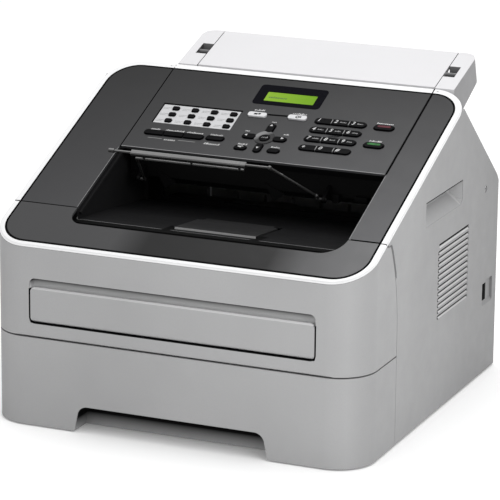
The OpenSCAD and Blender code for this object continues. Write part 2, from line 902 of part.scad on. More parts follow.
module panel_rim() {
    color(white) {
        intersection() {
            trim_ring();
            block([panel_left, 60, 100], [panel_right, 110, 320]);
        }
        // the pivots at its ends
        rod_x(panel_left - 4, panel_left + 4, panel_hinge, 1.4);
        rod_x(panel_right - 4, panel_right + 4, panel_hinge, 1.4);
        // the lug that joins the trim to the panel
        on_top() block([panel_left + 6, panel_back_t - 6, -panel_skin - 1.5],
            [panel_right - 6, panel_back_t + 3, -panel_skin]);
        on_top() block([panel_left + 6, panel_back_t + 1, -panel_skin],
            [panel_right - 6, panel_back_t + 3, -1]);
    }
}

module lcd_module() {
    color(black) on_top(lcd_c.x, lcd_c.y, -4) difference() {
        linear_extrude(4.3) rounded_rect(lcd_frame.x, lcd_frame.y, 4);
        translate([1.1, -2.4, 3.2]) linear_extrude(2) rounded_rect(50.6, 14.6, 1);
    }
    color([0.53, 0.73, 0.22]) on_top(lcd_c.x + 1.1, lcd_c.y - 2.4, -0.8)
        linear_extrude(0.5) rounded_rect(50.6, 14.6, 1);
}

// a key: the cap shows above the panel, the skirt below it keeps the cap in its hole
module key_cap(tint, rise = key_rise) {
    color(tint) on_top() translate([0, 0, -4.6]) linear_extrude(4.6 + rise) children();
}

module key_skirt(tint) {
    color(tint) on_top() translate([0, 0, -5]) linear_extrude(1.4) children();
}

module one_touch_keys() {
    key_cap(black) touch_outline();
    key_skirt(black) translate([-95, 138]) square([72, 30]);
}

module function_keys() {
    key_cap(black) function_outline();
    key_skirt(black) translate([-104, 118.4]) square([60, 8.4]);
}

module options_key() {
    key_cap(black) pill_outline(options_at, 17.6, 6.4);
    key_skirt(black) pill_outline(options_at, 19.4, 8.4);
}

module mode_key(at) {
    key_cap(steel) mode_outline(at);
    key_skirt(steel) mode_outline(at, 1);
}

module fax_mode_key() {
    mode_key(fax_at);
}

module copy_mode_key() {
    mode_key(copy_at);
}

module arrow_up_key() {
    key_cap(black) upright_outline(up_at, arrow_size.y, arrow_size.x);
    key_skirt(black) upright_outline(up_at, arrow_size.y, arrow_size.x, 0.9);
}

module arrow_down_key() {
    key_cap(black) upright_outline(down_at, arrow_size.y, arrow_size.x);
    key_skirt(black) upright_outline(down_at, arrow_size.y, arrow_size.x, 0.9);
}

module arrow_left_key() {
    key_cap(black) pill_outline(left_at, arrow_size.x, arrow_size.y);
    key_skirt(black) pill_outline(left_at, arrow_size.x, arrow_size.y, 0.9);
}

module arrow_right_key() {
    key_cap(black) pill_outline(right_at, arrow_size.x, arrow_size.y);
    key_skirt(black) pill_outline(right_at, arrow_size.x, arrow_size.y, 0.9);
}

module ok_key() {
    key_cap(black) translate(ok_c) circle(4.9);
    key_skirt(black) translate(ok_c) circle(5.7);
}

module clear_key() {
    key_cap(black) pill_outline(clear_at, small_size.x, small_size.y);
    key_skirt(black) pill_outline(clear_at, small_size.x, small_size.y, 0.9);
}

module menu_key() {
    key_cap(black) pill_outline(menu_at, small_size.x, small_size.y);
    key_skirt(black) pill_outline(menu_at, small_size.x, small_size.y, 0.9);
}

module stop_key() {
    key_cap([0.45, 0.1, 0.13]) pill_outline(stop_at, pill_size.x, pill_size.y);
    key_skirt(black) pill_outline(stop_at, pill_size.x, pill_size.y, 1);
}

module start_key() {
    key_cap([0.15, 0.4, 0.15]) pill_outline(start_at, pill_size.x, pill_size.y);
    key_skirt(black) pill_outline(start_at, pill_size.x, pill_size.y, 1);
}

module dial_key(row, column) {
    key_cap(black) dial_outline(row, column);
    key_skirt(black) translate([dial_x + (column - 1) * dial_pitch, dial_rows[row]])
        square([dial_pitch - 0.6, dial_h + 1.8], center = true);
}

// ---- document feeder ----

slab_x = [-118, 165.5];
flap_x = [-97.4, 145.7];
slab_front = [93.2, 289.9];
slab_slope = 18.1;
slab_back_y = 160;
window_y = [115, 133];

function slab_z(y) = slab_front.y + (y - slab_front.x) * tan(slab_slope);

module flank_outline() {
    polygon([slab_front, [slab_back_y - 4, slab_z(slab_back_y - 4)],
        [slab_back_y + 2, slab_z(slab_back_y) - 0.6], [170, 294], [169, 290], [122, 267],
        [98.4, 256.2], [slab_front.x, 260.6]]);
}

module document_tray() {
    corner = 14;
    color(white) difference() {
        union() {
            intersection() {
                for (x = [[slab_x.x, flap_x.x - 0.8], [flap_x.y + 0.8, slab_x.y]])
                    along_x(x.x, x.y) flank_outline();
                // the outer back corners are rounded in the slab's own plane
                translate([(slab_x.x + slab_x.y) / 2, slab_front.x, slab_front.y])
                    rotate([slab_slope, 0, 0]) translate([0, 0, -60]) linear_extrude(80)
                    plan((slab_x.y - slab_x.x) / 2, -20, 71.5, 1, corner);
            }
            // the floor that documents slide down, and the tie under it
            along_x(slab_x.x + 5, slab_x.y - 5)
                polygon([[slab_front.x, 262.6], [slab_front.x, 260.6], [98.4, 256.4], [117, 265], [117, 269]]);
            // the tongue that rests in the feed slot
            block([-90, 80, 265], [138, slab_front.x + 4, 267]);
        }
        // finger hollows beside the flap, which also show its pivots
        for (x = [flap_x.x - 11.6, flap_x.y]) block([x, window_y.x, 289], [x + 11.6, window_y.y, 320]);
        rod_x(flap_x.x - 15, flap_x.y + 15, flap_hinge, 2.05);
    }
}

module document_flap() {
    color(white) {
        along_x(flap_x.x, flap_x.y) polygon([[94.4, slab_z(94.4)], [slab_back_y - 1, slab_z(slab_back_y - 1)],
            [slab_back_y + 1.6, slab_z(slab_back_y) - 2.4], [slab_back_y + 0.6, slab_z(slab_back_y) - 4.6],
            [94.4, slab_z(94.4) - 2.6]]);
        for (s = [-1, 1]) {
            x = s < 0 ? flap_x.x : flap_x.y - 5;
            along_x(x, x + 5)
                polygon([[112, slab_z(112) - 1], [136, slab_z(136) - 1], [127, 293.4], [121, 293.4]]);
        }
        rod_x(flap_x.x - 14.4, flap_x.y + 14.4, flap_hinge, 2);
    }
}

module document_guide(x, toe) {
    color(dark) {
        along_x(x - 1.2, x + 1.2) polygon([[97.6, 264.6], [116, 269.6], [116, 284], [97.6, 281]]);
        along_x(min(x, x + toe), max(x, x + toe))
            polygon([[97.6, 264.6], [114, 269.05], [114, 270.6], [97.6, 266.2]]);
    }
}

module document_guide_left() {
    document_guide(-62, 22);
}

module document_guide_right() {
    document_guide(110, -22);
}

base_frame();
side_cover_right();
side_cover_left();
rear_cover();
rear_door();
top_cover();
top_rim();
scanner_unit();
rubber_feet();
laser_unit();
drum_unit();
toner_cartridge();
fuser_unit();
main_board();
power_supply();
ac_inlet();
phone_jacks();
paper_tray();
lift_plate();
pickup_roller();
front_cover();
front_strip();
front_rim();
manual_feed_cover();
control_panel();
panel_rim();
lcd_module();
document_tray();
document_flap();
document_guide_left();
document_guide_right();
output_flap();
document_bail();
adf_roller();
one_touch_keys();
function_keys();
options_key();
fax_mode_key();
copy_mode_key();
arrow_up_key();
arrow_down_key();
arrow_left_key();
arrow_right_key();
ok_key();
clear_key();
menu_key();
stop_key();
start_key();
dial_key(0, 0);  // dial_key_1
dial_key(0, 1);  // dial_key_2
dial_key(0, 2);  // dial_key_3
dial_key(1, 0);  // dial_key_4
dial_key(1, 1);  // dial_key_5
dial_key(1, 2);  // dial_key_6
dial_key(2, 0);  // dial_key_7
dial_key(2, 1);  // dial_key_8
dial_key(2, 2);  // dial_key_9
dial_key(3, 0);  // dial_key_star
dial_key(3, 1);  // dial_key_0
dial_key(3, 2);  // dial_key_hash
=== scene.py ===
"""Looks of the laser fax machine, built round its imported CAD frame. Metres; +X right, +Y back, +Z up."""

import json
import math
import random

import bpy
from mathutils import Matrix, Vector


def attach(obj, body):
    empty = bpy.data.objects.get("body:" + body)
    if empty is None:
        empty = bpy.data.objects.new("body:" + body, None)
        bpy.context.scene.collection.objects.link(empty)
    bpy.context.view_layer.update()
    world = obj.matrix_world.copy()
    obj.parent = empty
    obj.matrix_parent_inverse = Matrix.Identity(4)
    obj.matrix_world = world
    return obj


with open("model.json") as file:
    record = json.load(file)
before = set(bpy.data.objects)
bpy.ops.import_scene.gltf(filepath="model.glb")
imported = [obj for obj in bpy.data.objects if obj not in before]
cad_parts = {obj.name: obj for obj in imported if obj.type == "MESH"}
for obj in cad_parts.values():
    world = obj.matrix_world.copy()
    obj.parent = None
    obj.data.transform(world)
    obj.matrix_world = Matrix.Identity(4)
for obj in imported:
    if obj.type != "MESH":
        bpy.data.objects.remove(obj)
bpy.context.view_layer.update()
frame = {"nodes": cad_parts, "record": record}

MM = 0.001
TOP_SLOPE = math.radians(23.41)
CREASE = Vector((0.0, -0.1237, 0.196))
# the sloped top's own plane: x across, t uphill from the crease, n out of the surface
TOP = Matrix.Translation(CREASE) @ Matrix.Rotation(TOP_SLOPE, 4, "X")
NODES = frame["nodes"]
SCENE = bpy.context.scene


# ---------------------------------------------------------------- materials


class Tree:
    """Short calls for a material's node tree."""

    def __init__(self, name):
        self.material = bpy.data.materials.new(name)
        self.material.use_nodes = True
        self.nodes = self.material.node_tree.nodes
        self.links = self.material.node_tree.links
        self.nodes.clear()
        self.out = self.add("ShaderNodeOutputMaterial")
        self.bsdf = self.add("ShaderNodeBsdfPrincipled")
        self.link(self.bsdf.outputs[0], self.out.inputs["Surface"])
        self.place = self.add("ShaderNodeTexCoord").outputs["Object"]

    def add(self, kind, **values):
        node = self.nodes.new(kind)
        for key, value in values.items():
            setattr(node, key, value)
        return node

    def link(self, a, b):
        self.links.new(a, b)

    def noise(self, scale, detail=3.0, rough=0.55, stretch=None):
        node = self.add("ShaderNodeTexNoise")
        node.inputs["Scale"].default_value = scale
        node.inputs["Detail"].default_value = detail
        node.inputs["Roughness"].default_value = rough
        if stretch is None:
            self.link(self.place, node.inputs["Vector"])
        else:
            mapping = self.add("ShaderNodeMapping")
            mapping.inputs["Scale"].default_value = stretch
            self.link(self.place, mapping.inputs["Vector"])
            self.link(mapping.outputs[0], node.inputs["Vector"])
        return node.outputs["Fac"]

    def remap(self, value, lo, hi, out_lo, out_hi):
        node = self.add("ShaderNodeMapRange")
        self.link(value, node.inputs["Value"])
        for key, number in zip(("From Min", "From Max", "To Min", "To Max"), (lo, hi, out_lo, out_hi)):
            node.inputs[key].default_value = number
        return node.outputs["Result"]

    def math(self, operation, a, b):
        node = self.add("ShaderNodeMath", operation=operation)
        for socket, value in zip(node.inputs, (a, b)):
            if isinstance(value, (int, float)):
                socket.default_value = value
            else:
                self.link(value, socket)
        return node.outputs[0]

    def mix(self, factor, a, b):
        node = self.add("ShaderNodeMix", data_type="RGBA")
        for socket, value in ((node.inputs[0], factor), (node.inputs[6], a), (node.inputs[7], b)):
            if isinstance(value, tuple):
                socket.default_value = (*value, 1.0)
            elif isinstance(value, float):
                socket.default_value = value
            else:
                self.link(value, socket)
        return node.outputs[2]

    def bump(self, height, strength, distance):
        node = self.add("ShaderNodeBump")
        node.inputs["Strength"].default_value = strength
        node.inputs["Distance"].default_value = distance
        self.link(height, node.inputs["Height"])
        self.link(node.outputs[0], self.bsdf.inputs["Normal"])

    def set(self, name, value):
        socket = self.bsdf.inputs[name]
        if isinstance(value, (int, float)):
            socket.default_value = value
        elif isinstance(value, tuple):
            socket.default_value = (*value, 1.0)
        else:
            self.link(value, socket)


def scaled(colour, factor):
    """A colour times a factor, held at or below 1."""
    return tuple(min(1.0, c * factor) for c in colour)


def moulded(name, colour, rough, grain=1400.0, grain_depth=0.00004, vary=0.05, specular=0.5):
    """Moulded plastic: spark-eroded grain, slight tone drift and uneven gloss."""
    t = Tree(name)
    drift = t.remap(t.noise(9.0, 2.0), 0.3, 0.7, 0.0, 1.0)
    speck = t.remap(t.noise(grain * 0.6, 2.0), 0.35, 0.65, 0.0, 1.0)
    base = t.mix(drift, scaled(colour, 1 - vary), scaled(colour, 1 + vary))
    fine = t.mix(t.math("MULTIPLY", speck, 0.25), base, scaled(colour, 1 - 2 * vary))
    t.set("Base Color", fine)
    t.set("Roughness", t.remap(t.noise(60.0, 4.0), 0.3, 0.7, rough - 0.05, rough + 0.05))
    t.set("Specular IOR Level", specular)
    t.bump(t.noise(grain, 3.0, 0.6), 0.35, grain_depth)
    return t


def axes(t, source=None):
    """The three parts of a vector, by default of the point's place in metres."""
    split = t.add("ShaderNodeSeparateXYZ")
    t.link(source or t.place, split.inputs[0])
    return split.outputs["X"], split.outputs["Y"], split.outputs["Z"]


def facing(t, kind="Normal"):
    """The three parts of the direction that the surface faces."""
    return axes(t, t.add("ShaderNodeNewGeometry").outputs[kind])


def under_top(t, depth):
    """1 where a point lies more than depth below the sloped top, else 0, with a soft edge."""
    _, y, z = axes(t)
    rise = t.math("MULTIPLY", t.math("SUBTRACT", y, CREASE.y), math.tan(TOP_SLOPE))
    below = t.math("SUBTRACT", t.math("ADD", rise, CREASE.z), z)
    return t.remap(below, depth, depth + 0.0004, 0.0, 1.0)


def within(t, *limits):
    """1 where every value lies between its two limits, else 0."""
    inside = 1.0
    for value, low, high in limits:
        both = t.math("MULTIPLY", t.math("GREATER_THAN", value, low), t.math("LESS_THAN", value, high))
        inside = both if inside == 1.0 else t.math("MULTIPLY", inside, both)
    return inside


def base_colour(t):
    """The socket that feeds the base colour so far."""
    return t.bsdf.inputs["Base Color"].links[0].from_socket


def toned(t, tone):
    """Multiplies the base colour by a value."""
    node = t.add("ShaderNodeVectorMath", operation="SCALE")
    t.link(base_colour(t), node.inputs[0])
    t.link(tone, node.inputs["Scale"])
    t.set("Base Color", node.outputs[0])


def less(t, inside, share):
    """1 outside a region, and 1 - share inside it."""
    return t.math("SUBTRACT", 1.0, t.math("MULTIPLY", inside, share))


def dark_top_material():
    """The satin dark grey of the top, with a painted reflection across it; its well walls and floor are black
    plastic made nearly black by painted shade, with painted light on the left wall and the floor.
    """
    t = moulded("dark_satin", (0.032, 0.032, 0.0335), 0.36, grain=2600.0, grain_depth=0.000012, vary=0.03,
                specular=0.12)
    x, y, z = axes(t)
    up = facing(t)[2]
    # painted reflection: the top is lighter towards the right and towards the front
    across = t.remap(x, -0.165, 0.165, 1.15, 2.1)
    toned(t, t.math("MULTIPLY", across, t.remap(y, -0.12, 0.08, 1.0, 0.36)))
    shown = base_colour(t)
    # the front strip is blacker, with painted sheens (painted reflections) lighter over its left and right
    # ends
    front = t.remap(y, -0.1245, -0.1240, 1.0, 0.0)
    painted_sheen = t.math("ADD", t.remap(x, -0.064, -0.032, 0.38, 0.0), t.remap(x, 0.088, 0.122, 0.0, 0.62))
    painted_sheen = t.math("ADD", painted_sheen, t.remap(x, 0.122, 0.160, 0.0, 0.28))
    shown = t.mix(front, shown, t.mix(painted_sheen, (0.007, 0.007, 0.0073), (0.105, 0.105, 0.108)))
    # painted shade and light in the well: walls near black, the left wall painted lighter, and the upward
    # floor painted lighter as if lit from above
    deep = under_top(t, 0.0022)
    level = t.remap(up, 0.6, 0.8, 0.0, 1.0)
    wall = t.mix(t.remap(x, -0.1165, -0.1150, 1.0, 0.0), (0.002, 0.002, 0.0022), (0.011, 0.011, 0.0115))
    floor = t.mix(level, wall, (0.0095, 0.0095, 0.01))
    # painted shade: a black trench along the front of the well and black hinge notches beside the flap; and a
    # painted highlight on the ridge behind the trench
    trench_end = -0.1251
    trench_shade = within(t, (y, -0.1400, trench_end))
    beside = (y, trench_end, -0.1020)
    notch_shade = t.math("ADD", within(t, (x, -0.0340, -0.0250), beside), within(t, (x, 0.0530, 0.0620), beside))
    floor = t.mix(t.math("MAXIMUM", trench_shade, notch_shade), floor, (0.0008, 0.0008, 0.0009))
    trench_ridge_highlight = within(t, (y, trench_end, -0.1233), (z, 0.1800, 0.1870))
    trench_ridge_highlight = t.math("MULTIPLY", trench_ridge_highlight, less(t, notch_shade, 1.0))
    t.set("Base Color", t.mix(trench_ridge_highlight, t.mix(deep, shown, floor), (0.2, 0.2, 0.2)))
    t.set("Specular IOR Level", t.remap(deep, 0.0, 1.0, 0.12, 0.05))
    gloss = t.bsdf.inputs["Roughness"].links[0].from_socket
    t.set("Roughness", t.math("ADD", gloss, t.math("MULTIPLY", deep, 0.15)))
    return t.material


def grey_plain_material(name):
    """Light grey moulding with painted shade: its tone falls off a little to the left, to the back and to the
    foot, and further at its left and right edges.
    """
    t = moulded(name, (0.335, 0.335, 0.338), 0.55)
    x, y, z = axes(t)
    # painted shade by position: darker to the left, to the back, at both side edges and to the foot
    tone = t.math("MULTIPLY", t.remap(x, -0.18, 0.15, 0.9, 1.1), t.remap(y, -0.08, 0.18, 0.97, 0.7))
    tone = t.math("MULTIPLY", tone, t.remap(x, -0.184, -0.163, 0.74, 1.0))
    tone = t.math("MULTIPLY", tone, t.remap(x, 0.168, 0.183, 1.0, 0.84))
    toned(t, t.math("MULTIPLY", tone, t.remap(z, 0.0, 0.16, 0.93, 1.0)))
    return t


def plate_material():
    """The manual feed cover, with a painted highlight along its bevelled upper edge."""
    t = grey_plain_material("grey_plate")
    _, _, z = axes(t)
    # painted highlight: the top of the plate is made half as light again
    toned(t, less(t, within(t, (z, 0.1309, 0.2)), -0.5))
    return t.material


def grey_shell_material():
    """The same moulding, with painted shade in its recesses (under the trim, in the feed groove, the tray
    notch, the louvres and the port) and painted light on the louvre slopes, at the foot of the feed groove
    and in the hand grips.
    """
    t = grey_plain_material("grey_moulded")
    x, y, z = axes(t)
    side = t.math("ABSOLUTE", x, 0.0)
    up = facing(t, "True Normal")[2]
    # painted shade: the ledge below the groove round the trim is made almost black
    ledge_shade = t.math("SUBTRACT", under_top(t, 0.001), under_top(t, 0.0026))
    ledge_shade = t.math("MULTIPLY", ledge_shade, within(t, (up, 0.8, 1.1), (side, -1.0, 0.1775), (y, -1.0, 0.0855)))
    tone = less(t, ledge_shade, 0.99)
    feed = (side, -1.0, 0.1404), (y, -0.1789, -0.165)
    louvres = (z, 0.0895, 0.1635)
    grip = (side, 0.1690, 0.1836)
    painted_shading = (
        # painted shade in the mouth of the manual feed and in the groove above its cover, which darkens
        # upwards, with painted light at the groove's foot
        (within(t, *feed, (z, 0.098, 0.1300)), 0.97),
        (within(t, *feed, (z, 0.1300, 0.1412)), t.remap(z, 0.1325, 0.1386, -1.5, 0.98)),
        # painted shade in the tray's finger notch, which darkens upwards
        (within(t, (side, -1.0, 0.0965), (y, -0.1786, -0.15), (z, 0.0, 0.0258)),
         t.remap(z, 0.0025, 0.0138, 0.0, 0.985)),
        # the louvres: painted shade in black slots and a black front end, and painted light on the slopes
        # between them
        (within(t, (side, 0.1790, 0.1829), (y, 0.008, 0.0925), (z, 0.0895, 0.163)), 0.95),
        (within(t, (side, 0.1829, 0.18385), (y, 0.0135, 0.0925), louvres, (up, 0.3, 1.1)), -0.9),
        (within(t, (side, 0.1790, 0.1838), (y, 0.008, 0.0126), (z, 0.0895, 0.157)), 0.97),
        # painted shade in the port window
        (within(t, (side, 0.1790, 0.1819), (y, 0.1376, 0.1525), (z, 0.0735, 0.0899)), 0.98),
        # painted light on the hand grip's floor and its back end
        (within(t, grip, (y, -0.0262, 0.0665), (z, 0.1865, 0.2098), (up, 0.5, 1.1)), -0.3),
        (within(t, grip, (y, 0.0665, 0.0735), (z, 0.1865, 0.2108)), -0.8),
    )
    for inside, share in painted_shading:
        tone = t.math("MULTIPLY", tone, less(t, inside, share))
    toned(t, tone)
    t.set("Specular IOR Level", t.remap(tone, 0.0, 0.8, 0.0, 0.5))
    return t.material


def feeder_material():
    """White moulding with painted shade on the feeder's outer flanks and in its finger hollows."""
    t = moulded("feeder_white", (0.57, 0.566, 0.578), 0.48, grain=1800.0, vary=0.015)
    x, y, z = axes(t)
    side = t.math("ABSOLUTE", facing(t)[0], 0.0)
    # painted shade on the faces that look sideways and in the finger hollows
    flank_shade = t.remap(side, 0.7, 0.9, 0.0, 0.62)
    height = ((y, 0.1145, 0.1335), (z, 0.2800, 0.3100))
    hollow_shade = t.math("ADD", within(t, (x, -0.1095, -0.0976), *height), within(t, (x, 0.1459, 0.1577), *height))
    toned(t, t.math("MULTIPLY", less(t, flank_shade, 1.0), less(t, hollow_shade, 0.8)))
    return t.material


def bail_material():
    """Satin black wire with painted highlights on its upper bars."""
    t = moulded("bail_satin", (0.012, 0.012, 0.012), 0.3, grain=2600.0, grain_depth=0.00001, vary=0.1)
    x, y, z = axes(t)
    shown = base_colour(t)
    # painted highlights on the upper faces of the blade, the bar ends and the rear bar, broken up along their
    # length
    blade = within(t, (x, -0.0882, 0.0272), (y, -0.0767, -0.0720), (z, 0.2402, 0.3))
    up = facing(t)[2]
    ends = t.math("ADD", within(t, (x, -0.2, -0.0882)), within(t, (x, 0.0272, 0.0525)))
    ends = t.math("MULTIPLY", ends, within(t, (z, 0.2396, 0.3), (up, 0.55, 1.1)))
    bars = t.math("MAXIMUM", ends, within(t, (y, -0.0690, -0.0650), (z, 0.2325, 0.2345), (up, 0.5, 1.1)))
    highlight_breakup = t.remap(t.noise(60.0, 3.0, 0.6, (0.35, 1.0, 1.0)), 0.3, 0.7, 0.75, 1.2)
    bar_highlight = t.math("MULTIPLY", t.math("MULTIPLY", t.math("MAXIMUM", blade, bars), highlight_breakup), 0.12)
    t.set("Base Color", t.mix(bar_highlight, shown, (1.0, 1.0, 1.0)))
    return t.material


def flap_material():
    """Near black, with a painted highlight along its front edge."""
    t = moulded("flap_satin", (0.02, 0.02, 0.0205), 0.4, grain=2400.0, vary=0.1, specular=0.2)
    _, y, _ = axes(t)
    shown = base_colour(t)
    # painted highlight on the front edge
    t.set("Base Color", t.mix(within(t, (y, -0.2, -0.1133)), shown, (0.3, 0.3, 0.3)))
    return t.material


def ring_material():
    """A glossy flat ring, with painted light at its upper left and painted shade at its lower right that
    stand in for a dished shape.
    """
    t = moulded("ring_gloss", (0.17, 0.17, 0.173), 0.25, grain=3000.0, grain_depth=0.00001, vary=0.05,
                specular=0.08)
    x, y, _ = axes(t)
    # painted light and shade along a diagonal
    slope = t.math("SUBTRACT", t.math("MULTIPLY", y, 1.1), x)
    shown = base_colour(t)
    t.set("Base Color", t.mix(t.remap(slope, -0.016, -0.008, 1.0, 0.0), shown, (0.022, 0.022, 0.0225)))
    return t.material


def ink(name, colour, rough=0.5):
    """Printed ink, slightly uneven in cover; dark inks are matt."""
    t = Tree(name)
    t.set("Specular IOR Level", min(0.5, 4 * max(colour)))
    t.set("Base Color", t.mix(t.noise(900.0, 4.0), scaled(colour, 0.86), scaled(colour, 1.1)))
    t.set("Roughness", t.remap(t.noise(300.0), 0.3, 0.7, rough - 0.06, rough + 0.06))
    t.bump(t.noise(2500.0), 0.2, 0.00001)
    return t.material


def display_material():
    """A green liquid crystal field with a fine dot grid, lighter towards its left, with a faint painted glow.
    """
    t = Tree("lcd_green")
    glow = t.remap(axes(t)[0], -0.01, 0.04, 0.0, 1.0)
    dots = t.add("ShaderNodeTexBrick")
    dots.inputs["Scale"].default_value = 900.0
    dots.inputs["Mortar Size"].default_value = 0.03
    t.link(t.place, dots.inputs["Vector"])
    tone = t.mix(glow, (0.17, 0.3, 0.02), (0.11, 0.24, 0.006))
    tone = t.mix(t.math("MULTIPLY", dots.outputs["Fac"], 0.12), tone, (0.1, 0.2, 0.02))
    t.set("Base Color", tone)
    # a faint painted glow: the field emits its own colour
    t.set("Emission Color", tone)
    t.set("Emission Strength", 0.1)
    t.set("Roughness", t.remap(t.noise(80.0), 0.3, 0.7, 0.4, 0.5))
    t.set("Specular IOR Level", 0.06)
    return t.material


def lit_key(name, dark, bright):
    """A clear coloured key, brighter in random patches."""
    t = moulded(name, dark, 0.3, grain=3000.0, grain_depth=0.00001, vary=0.1, specular=0.1)
    shown = base_colour(t)
    uphill = t.remap(t.noise(120.0, 2.0), 0.3, 0.7, 0.0, 1.0)
    t.set("Base Color", t.mix(t.math("MULTIPLY", uphill, 0.5), shown, bright))
    return t.material


def metal(name, colour, rough):
    """Rolled metal with fine lines along it."""
    t = Tree(name)
    lines = t.noise(700.0, 3.0, 0.6, (0.02, 1.0, 1.0))
    t.set("Base Color", t.mix(lines, scaled(colour, 0.9), scaled(colour, 1.08)))
    t.set("Metallic", 1.0)
    t.set("Roughness", t.remap(lines, 0.3, 0.7, rough - 0.06, rough + 0.1))
    t.bump(lines, 0.2, 0.00003)
    return t.material


def rubber(name):
    """Matt black rubber with a coarse bloom."""
    t = Tree(name)
    t.set("Base Color", t.mix(t.noise(240.0, 4.0), (0.018, 0.018, 0.018), (0.032, 0.031, 0.03)))
    t.set("Roughness", 0.85)
    t.bump(t.noise(900.0, 4.0, 0.7), 0.5, 0.00008)
    return t.material


def board(name):
    """A circuit board: green lacquer with copper tracks showing through."""
    t = Tree(name)
    tracks = t.add("ShaderNodeTexBrick")
    tracks.inputs["Scale"].default_value = 160.0
    tracks.inputs["Mortar Size"].default_value = 0.03
    tracks.inputs["Color1"].default_value = (0.012, 0.09, 0.035, 1)
    tracks.inputs["Color2"].default_value = (0.016, 0.11, 0.045, 1)
    tracks.inputs["Mortar"].default_value = (0.05, 0.22, 0.09, 1)
    t.link(t.place, tracks.inputs["Vector"])
    t.set("Base Color", tracks.outputs["Color"])
    t.set("Roughness", t.remap(t.noise(90.0), 0.3, 0.7, 0.25, 0.45))
    t.bump(tracks.outputs["Fac"], 0.3, 0.0001)
    return t.material


GREY = grey_shell_material()
GREY_PLATE = plate_material()
WHITE = moulded("white_moulded", (0.68, 0.68, 0.685), 0.42, grain=2000.0, grain_depth=0.00002,
                vary=0.012).material
FEEDER = feeder_material()
DARK = dark_top_material()
FLAP = flap_material()
BAIL = bail_material()
BLACK = moulded("black_moulded", (0.002, 0.002, 0.0021), 0.42, grain=1500.0, vary=0.2,
                specular=0.06).material
FRAME_GREY = moulded("frame_moulded", (0.05, 0.05, 0.052), 0.6, vary=0.1).material
KEY_BLACK = moulded("key_black", (0.0025, 0.0025, 0.003), 0.3, grain=3000.0, grain_depth=0.00001, vary=0.2,
                    specular=0.02).material
BEZEL = moulded("bezel_black", (0.0025, 0.0025, 0.0045), 0.25, grain=3600.0, grain_depth=0.00001, vary=0.1,
                specular=0.01).material
# black for a dark joint and a printed line, and for painted shade in gaps, grooves, slots and recesses
GAP_AND_SHADE = moulded("gap_and_shade_black", (0.0015, 0.0015, 0.0016), 0.8, vary=0.2, specular=0.03).material
# light grey for painted highlights along edges
PAINTED_EDGE_HIGHLIGHT = ink("painted_edge_highlight", (0.17, 0.17, 0.172))
RING = ring_material()
SHEET = moulded("sheet_silver", (0.43, 0.43, 0.44), 0.4, grain=3600.0, grain_depth=0.00001,
                vary=0.06).material
RED_CAP = lit_key("red_clear", (0.06, 0.005, 0.012), (0.11, 0.012, 0.022))
GREEN_CAP = lit_key("green_clear", (0.008, 0.06, 0.012), (0.03, 0.26, 0.045))
WHITE_INK = ink("white_ink", (0.44, 0.44, 0.44))
GREY_INK = ink("grey_ink", (0.22, 0.22, 0.22))
FAINT_INK = ink("faint_ink", (0.16, 0.16, 0.16))
BLACK_INK = ink("black_ink", (0.002, 0.002, 0.002))
LCD_INK = ink("lcd_ink", (0.03, 0.09, 0.012))
LCD_GREEN = display_material()
SILVER = moulded("silver_paint", (0.5, 0.5, 0.51), 0.32, grain=4200.0, grain_depth=0.00001,
                 vary=0.04).material
RUBBER = rubber("black_rubber")
STEEL = metal("rolled_steel", (0.58, 0.58, 0.6), 0.3)
BOARD = board("green_board")

SLOT_MATERIALS = {
    "grey_shell": GREY,
    "white_trim": WHITE,
    "white_feeder": FEEDER,
    "dark_panel": DARK,
    "black_plastic": BLACK,
    "frame_plastic": FRAME_GREY,
    "silver_key": SILVER,
    "rubber": RUBBER,
    "steel": STEEL,
    "circuit_board": BOARD,
    "red_key": KEY_BLACK,
    "green_key": KEY_BLACK,
    "key_plastic": KEY_BLACK,
    "lcd_glass": BEZEL,
}


# ---------------------------------------------------------------- CAD nodes


def smooth_group():
    """A modifier that shades smooth across edges flatter than 35 degrees."""
    group = bpy.data.node_groups.new("smooth_shading", "GeometryNodeTree")
    group.interface.new_socket("Geometry", in_out="INPUT", socket_type="NodeSocketGeometry")
    group.interface.new_socket("Geometry", in_out="OUTPUT", socket_type="NodeSocketGeometry")
    add = group.nodes.new
    source = add("NodeGroupInput")
    result = add("NodeGroupOutput")
    faces = add("GeometryNodeSetShadeSmooth")
    edges = add("GeometryNodeSetShadeSmooth")
    edges.domain = "EDGE"
    angle = add("GeometryNodeInputMeshEdgeAngle")
    sharp = add("FunctionNodeCompare")
    sharp.operation = "GREATER_THAN"
    sharp.inputs[1].default_value = math.radians(35)
    faces.inputs["Shade Smooth"].default_value = True
    edges.inputs["Shade Smooth"].default_value = False
    link = group.links.new
    link(source.outputs[0], faces.inputs["Geometry"])
    link(faces.outputs[0], edges.inputs["Geometry"])
    link(angle.outputs["Unsigned Angle"], sharp.inputs[0])
    link(sharp.outputs[0], edges.inputs["Selection"])
    link(edges.outputs[0], result.inputs[0])
    return group


SMOOTH = smooth_group()


def round_edges(obj, width, segments=2, limit=30):
    """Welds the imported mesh, rounds its sharp edges and shades it."""
    weld = obj.modifiers.new("weld", "WELD")
    weld.merge_threshold = 0.002 * MM
    if obj.name != "front_cover":
        flat = obj.modifiers.new("flat", "DECIMATE")
        flat.decimate_type = "DISSOLVE"
        flat.angle_limit = math.radians(0.4)
    if width:
        bevel = obj.modifiers.new("bevel", "BEVEL")
        bevel.width = width
        bevel.segments = segments
        bevel.limit_method = "ANGLE"
        bevel.angle_limit = math.radians(limit)
        bevel.use_clamp_overlap = True
        bevel.miter_outer = "MITER_ARC"
    shade = obj.modifiers.new("shade", "NODES")
    shade.node_group = SMOOTH
    normals = obj.modifiers.new("normals", "WEIGHTED_NORMAL")
    normals.keep_sharp = True
    normals.weight = 80


